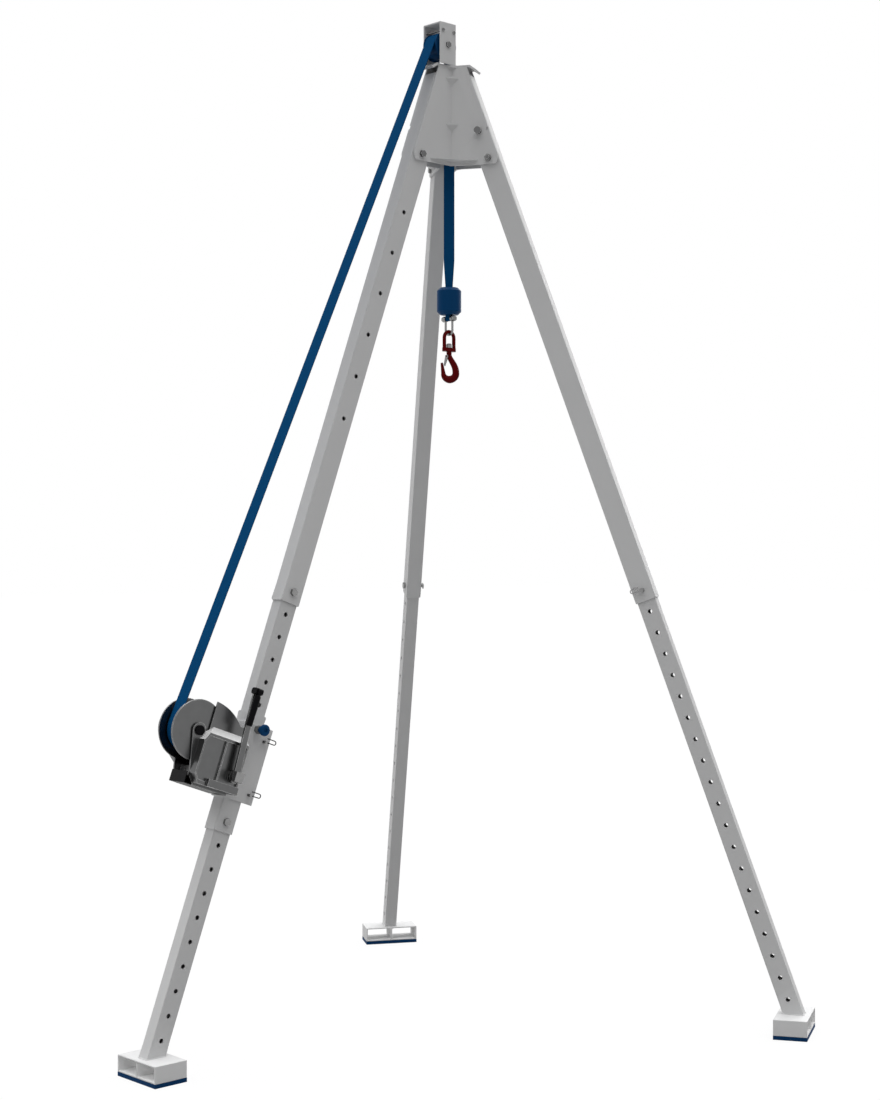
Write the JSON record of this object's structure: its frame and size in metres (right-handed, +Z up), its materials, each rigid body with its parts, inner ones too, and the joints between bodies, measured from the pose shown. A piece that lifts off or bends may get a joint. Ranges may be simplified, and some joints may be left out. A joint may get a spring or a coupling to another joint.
{
  "type": "rescue tripod",
  "caption": "Folding rescue tripod with telescopic legs, a hinged head with a pulley, a geared strap winch on a leg and a swivel safety hook.",
  "frame": {"origin": "on the floor, plumb below the lifting strap and the middle of the head", "axes": "+Z up along the lifting strap, -Y towards the leg that carries the winch, +X to the crank side of the winch"},
  "size_m": [2.5048, 2.1692, 3.7511],
  "materials": {
    "painted_aluminium": "satin white-grey powder coat on aluminium",
    "inner_aluminium": "satin anodised aluminium",
    "galvanised_steel": "zinc plated",
    "winch_steel": "zinc grey paint",
    "dark_steel": "dark oiled steel",
    "black_plastic": "black moulded",
    "blue_plastic": "blue moulded",
    "blue_webbing": "woven blue webbing",
    "red_forged_steel": "dark red paint on forged steel",
    "sole_rubber": "navy rubber"
  },
  "bodies": {
    "head": {"cheek_plates": "painted_aluminium", "top_plate": "painted_aluminium", "head_gussets": "painted_aluminium", "pulley_bracket": "painted_aluminium", "strap_guards": "galvanised_steel", "pulley_axle": "galvanised_steel", "hinge_bolts": "galvanised_steel", "hinge_nuts": "galvanised_steel", "lock_guides": "galvanised_steel", "strap_upper": "blue_webbing", "strap_drop": "blue_webbing"},
    "pulley": {"pulley": "blue_plastic"},
    "lock_a": {"leg_lock_a": "galvanised_steel"},
    "leg_a": {"outer_tube_a": "painted_aluminium", "leg_pin_a": "galvanised_steel", "strap_lower": "blue_webbing"},
    "foot_leg_a": {"inner_tube_a": "inner_aluminium", "foot_a": "painted_aluminium", "sole_a": "sole_rubber", "winch_sleeve": "painted_aluminium", "console": "painted_aluminium", "winch_pins": "galvanised_steel", "winch_clips": "galvanised_steel", "plunger_guide": "galvanised_steel", "winch_frame": "winch_steel", "drum_tray": "dark_steel", "winch_bolts": "galvanised_steel", "gear_case": "winch_steel", "gear_cover": "winch_steel", "drum_axle": "dark_steel"},
    "lock_b": {"leg_lock_b": "galvanised_steel"},
    "leg_b": {"outer_tube_b": "painted_aluminium", "leg_pin_b": "galvanised_steel"},
    "foot_leg_b": {"inner_tube_b": "inner_aluminium", "foot_b": "painted_aluminium", "sole_b": "sole_rubber"},
    "lock_c": {"leg_lock_c": "galvanised_steel"},
    "leg_c": {"outer_tube_c": "painted_aluminium", "leg_pin_c": "galvanised_steel"},
    "foot_leg_c": {"inner_tube_c": "inner_aluminium", "foot_c": "painted_aluminium", "sole_c": "sole_rubber"},
    "knob": {"plunger_knob": "blue_plastic"},
    "drum": {"drum": "winch_steel", "drum_gear": "dark_steel", "strap_roll": "blue_webbing"},
    "cross_shaft": {"cross_shaft": "dark_steel", "cross_gears": "dark_steel"},
    "crank": {"crank_shaft": "galvanised_steel", "crank_arm": "winch_steel"},
    "grip_bracket": {"grip_bracket": "black_plastic"},
    "grip": {"grip": "black_plastic"},
    "hook_block": {"strap_stop": "blue_plastic", "strap_eye": "blue_webbing", "shackle": "galvanised_steel", "shackle_pin": "galvanised_steel"},
    "swivel": {"swivel_eye": "red_forged_steel"},
    "hook": {"hook": "red_forged_steel", "swivel_nut": "galvanised_steel"},
    "latch": {"latch": "galvanised_steel"}
  },
  "joints": [
    {"name": "leg_a_fold", "type": "hinge", "parent": "head", "child": "leg_a", "pos_m": [0, -0.167, 3.23912], "axis": [1, 0, 0], "range_deg": [0, 20], "deforming": ["strap_upper"]},
    {"name": "leg_a_extend", "type": "slide", "parent": "leg_a", "child": "foot_leg_a", "axis": [0, -0.342, -0.9397], "range_m": [-0.332, 0.166], "deforming": ["strap_lower"]},
    {"name": "lock_a_pull", "type": "slide", "parent": "head", "child": "lock_a", "axis": [-1, 0, 0], "range_m": [0, 0.008], "stiffness_N_per_m": 600, "springref_m": -0.008},
    {"name": "leg_b_fold", "type": "hinge", "parent": "head", "child": "leg_b", "pos_m": [0.14463, 0.0835, 3.23912], "axis": [-0.5, 0.866, 0], "range_deg": [0, 20]},
    {"name": "leg_b_extend", "type": "slide", "parent": "leg_b", "child": "foot_leg_b", "axis": [0.2962, 0.171, -0.9397], "range_m": [-0.83, 0.166]},
    {"name": "lock_b_pull", "type": "slide", "parent": "head", "child": "lock_b", "axis": [0.5, -0.866, 0], "range_m": [0, 0.008], "stiffness_N_per_m": 600, "springref_m": -0.008},
    {"name": "leg_c_fold", "type": "hinge", "parent": "head", "child": "leg_c", "pos_m": [-0.14463, 0.0835, 3.23912], "axis": [-0.5, -0.866, 0], "range_deg": [0, 20]},
    {"name": "leg_c_extend", "type": "slide", "parent": "leg_c", "child": "foot_leg_c", "axis": [-0.2962, 0.171, -0.9397], "range_m": [-0.83, 0.166]},
    {"name": "lock_c_pull", "type": "slide", "parent": "head", "child": "lock_c", "axis": [0.5, 0.866, 0], "range_m": [0, 0.008], "stiffness_N_per_m": 600, "springref_m": -0.008},
    {"name": "drum_spin", "type": "hinge", "parent": "foot_leg_a", "child": "drum", "pos_m": [0, -1.16645, 1.15102], "axis": [1, 0, 0], "range_deg": [-1717, 274]},
    {"name": "crank_turn", "type": "hinge", "parent": "foot_leg_a", "child": "crank", "pos_m": [0, -1.05449, 0.98791], "axis": [1, 0, 0], "range_deg": [-7727, 1234]},
    {"name": "cross_shaft_spin", "type": "hinge", "parent": "foot_leg_a", "child": "cross_shaft", "pos_m": [0, -1.12014, 1.04032], "axis": [1, 0, 0], "range_deg": [-412, 2576]},
    {"name": "pulley_spin", "type": "hinge", "parent": "head", "child": "pulley", "pos_m": [0, -0.048, 3.66812], "axis": [1, 0, 0], "range_deg": [-2684, 429]},
    {"name": "hook_lift", "type": "slide", "parent": "head", "child": "hook_block", "axis": [0, 0, 1], "range_m": [-2.25, 0.36], "deforming": ["strap_drop"]},
    {"name": "grip_fold", "type": "hinge", "parent": "crank", "child": "grip_bracket", "pos_m": [0.1196, -0.97262, 1.27341], "axis": [0, -0.9397, 0.342], "range_deg": [0, 90]},
    {"name": "grip_spin", "type": "hinge", "parent": "grip_bracket", "child": "grip", "pos_m": [0.1196, -0.97262, 1.27341], "axis": [0, 0.342, 0.9397], "continuous": true},
    {"name": "knob_pull", "type": "slide", "parent": "foot_leg_a", "child": "knob", "axis": [1, 0, 0], "range_m": [0, 0.01], "stiffness_N_per_m": 400, "springref_m": -0.008},
    {"name": "swivel_swing", "type": "hinge", "parent": "hook_block", "child": "swivel", "pos_m": [0, 0, 2.57812], "axis": [1, 0, 0], "range_deg": [-25, 25]},
    {"name": "hook_swivel", "type": "hinge", "parent": "swivel", "child": "hook", "pos_m": [0, 0, 2.51812], "axis": [0, 0, 1], "continuous": true},
    {"name": "latch_open", "type": "hinge", "parent": "hook", "child": "latch", "pos_m": [-0.00636, -0.00636, 2.49562], "axis": [0.7071, -0.7071, 0], "range_deg": [0, 27], "stiffness_Nm_per_rad": 0.05, "springref_deg": -28.65}
  ],
  "couplings": [
    {"joint": "crank_turn", "follows": "drum_spin", "ratio": 4.5},
    {"joint": "cross_shaft_spin", "follows": "drum_spin", "ratio": -1.5},
    {"joint": "pulley_spin", "follows": "drum_spin", "ratio": 1.5625},
    {"joint": "hook_lift", "follows": "drum_spin", "m_per_rad": 0.075}
  ]
}
